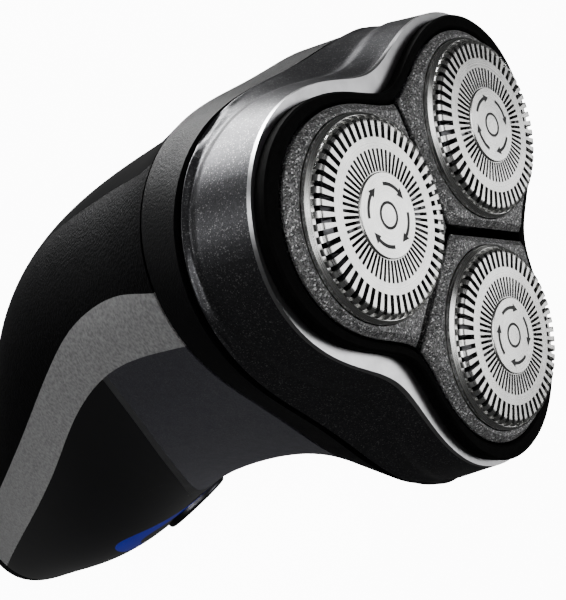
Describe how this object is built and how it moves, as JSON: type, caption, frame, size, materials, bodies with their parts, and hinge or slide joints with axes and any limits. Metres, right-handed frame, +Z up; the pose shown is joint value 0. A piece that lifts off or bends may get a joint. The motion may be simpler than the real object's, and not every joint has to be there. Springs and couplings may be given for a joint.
{
  "type": "electric shaver",
  "caption": "Rotary electric shaver with round slotted cutter caps on a tilted lobed head, a curved grip handle with a grey side band, and a lit power button.",
  "frame": {"origin": "centre of the flat foot at the end of the handle", "axes": "+Z up along the handle, -Y towards the front with the power button, the shaving face leans forward over -Y, X across"},
  "size_m": [0.0636, 0.0712, 0.1548],
  "materials": {
    "cap_steel": "satin machined",
    "disc_steel": "satin",
    "cutter_steel": "ground",
    "frame_plastic": "satin",
    "plate_flake": "dark metallic flake",
    "holder_black": "satin black",
    "chamber_flake": "gunmetal metallic flake",
    "rim_silver": "satin plated",
    "neck_black": "fine texture",
    "rubber_grip": "soft touch fine grain",
    "panel_black": "high gloss",
    "band_grey": "satin",
    "cover_lacquer": "satin lacquer",
    "trim_silver": "satin plated",
    "light_blue": "translucent blue",
    "button_steel": "satin",
    "shell_black": "moulded",
    "seal_rubber": "matt",
    "gear_nylon": "nylon",
    "shaft_steel": "ground",
    "motor_steel": "plated",
    "magnet_dark": "sintered",
    "armature_copper": "wound",
    "battery_wrap": "shrink sleeve",
    "board_green": "solder mask",
    "switch_black": "moulded",
    "diode_clear": "clear",
    "pin_brass": "plated"
  },
  "bodies": {
    "handle": {"neck_ring": "neck_black", "coupling_collar": "neck_black", "neck_seal": "seal_rubber", "shaft_seals": "seal_rubber", "gear_plate": "shell_black", "gear_screws": "shaft_steel", "motor_can": "motor_steel", "motor_end_cap": "shell_black", "motor_magnets": "magnet_dark", "battery": "battery_wrap", "chassis": "shell_black", "chassis_screws": "shaft_steel", "circuit_board": "board_green", "tact_switch": "switch_black", "light_diodes": "diode_clear", "front_shell": "shell_black", "rear_shell": "shell_black", "rear_grip": "rubber_grip", "back_panel": "panel_black", "side_band_left": "band_grey", "side_band_right": "band_grey", "front_cover": "cover_lacquer", "panel_trim": "trim_silver", "front_panel": "panel_black", "light_ring": "light_blue", "foot_cap": "neck_black", "foot_seal": "seal_rubber", "inlet_socket": "switch_black", "inlet_pins": "pin_brass"},
    "rotor": {"motor_armature": "armature_copper", "motor_shaft": "shaft_steel", "motor_pinion": "pin_brass"},
    "power_button": {"power_button": "button_steel"},
    "shaving_unit": {"hair_chamber": "chamber_flake", "chamber_rim": "rim_silver"},
    "head_holder": {"head_holder": "holder_black"},
    "lobe_right": {"lobe_plate_right": "plate_flake", "shaving_cap_right": "cap_steel", "cap_disc_right": "disc_steel", "retaining_frame_right": "frame_plastic"},
    "cutter_right": {"cutter_right": "cutter_steel"},
    "drive_right": {"drive_gear_right": "gear_nylon", "drive_spindle_right": "shaft_steel", "spindle_spring_right": "shaft_steel"},
    "lobe_left": {"lobe_plate_left": "plate_flake", "shaving_cap_left": "cap_steel", "cap_disc_left": "disc_steel", "retaining_frame_left": "frame_plastic"},
    "cutter_left": {"cutter_left": "cutter_steel"},
    "drive_left": {"drive_gear_left": "gear_nylon", "drive_spindle_left": "shaft_steel", "spindle_spring_left": "shaft_steel"},
    "lobe_front": {"lobe_plate_front": "plate_flake", "shaving_cap_front": "cap_steel", "cap_disc_front": "disc_steel", "retaining_frame_front": "frame_plastic"},
    "cutter_front": {"cutter_front": "cutter_steel"},
    "drive_front": {"drive_gear_front": "gear_nylon", "drive_spindle_front": "shaft_steel", "spindle_spring_front": "shaft_steel"}
  },
  "joints": [
    {"name": "power_button_press", "type": "slide", "parent": "handle", "child": "power_button", "axis": [0, 1, 0], "range_m": [0, 0.0005], "stiffness_N_per_m": 3000},
    {"name": "motor_spin", "type": "hinge", "parent": "handle", "child": "rotor", "pos_m": [0, -0.00132, 0.11981], "axis": [0, -0.4226, 0.9063], "continuous": true},
    {"name": "shaving_unit_pull", "type": "slide", "parent": "handle", "child": "shaving_unit", "axis": [0, -0.4226, 0.9063], "range_m": [0, 0.04]},
    {"name": "head_holder_lift", "type": "slide", "parent": "shaving_unit", "child": "head_holder", "axis": [0, -0.4226, 0.9063], "range_m": [0, 0.02]},
    {"name": "lobe_right_tilt", "type": "hinge", "parent": "head_holder", "child": "lobe_right", "pos_m": [0.0136, -0.00481, 0.14588], "axis": [-0.5, 0.7849, 0.366], "range_deg": [-3, 3], "stiffness_Nm_per_rad": 0.15},
    {"name": "cutter_right_spin", "type": "hinge", "parent": "lobe_right", "child": "cutter_right", "pos_m": [0.0136, -0.00604, 0.1485], "axis": [0, -0.4226, 0.9063], "continuous": true},
    {"name": "drive_right_spin", "type": "hinge", "parent": "handle", "child": "drive_right", "pos_m": [0.0136, 0.00157, 0.13219], "axis": [0, -0.4226, 0.9063], "continuous": true},
    {"name": "lobe_left_tilt", "type": "hinge", "parent": "head_holder", "child": "lobe_left", "pos_m": [-0.0136, -0.00481, 0.14588], "axis": [-0.5, -0.7849, -0.366], "range_deg": [-3, 3], "stiffness_Nm_per_rad": 0.15},
    {"name": "cutter_left_spin", "type": "hinge", "parent": "lobe_left", "child": "cutter_left", "pos_m": [-0.0136, -0.00604, 0.1485], "axis": [0, -0.4226, 0.9063], "continuous": true},
    {"name": "drive_left_spin", "type": "hinge", "parent": "handle", "child": "drive_left", "pos_m": [-0.0136, 0.00157, 0.13219], "axis": [0, -0.4226, 0.9063], "continuous": true},
    {"name": "lobe_front_tilt", "type": "hinge", "parent": "head_holder", "child": "lobe_front", "pos_m": [0, -0.02616, 0.13592], "axis": [1, 0, 0], "range_deg": [-3, 3], "stiffness_Nm_per_rad": 0.15},
    {"name": "cutter_front_spin", "type": "hinge", "parent": "lobe_front", "child": "cutter_front", "pos_m": [0, -0.02738, 0.13855], "axis": [0, -0.4226, 0.9063], "continuous": true},
    {"name": "drive_front_spin", "type": "hinge", "parent": "handle", "child": "drive_front", "pos_m": [0, -0.01978, 0.12224], "axis": [0, -0.4226, 0.9063], "continuous": true}
  ],
  "couplings": [
    {"joint": "drive_right_spin", "follows": "motor_spin", "ratio": -0.4},
    {"joint": "cutter_right_spin", "follows": "motor_spin", "ratio": -0.4},
    {"joint": "drive_left_spin", "follows": "motor_spin", "ratio": -0.4},
    {"joint": "cutter_left_spin", "follows": "motor_spin", "ratio": -0.4},
    {"joint": "drive_front_spin", "follows": "motor_spin", "ratio": -0.4},
    {"joint": "cutter_front_spin", "follows": "motor_spin", "ratio": -0.4}
  ]
}
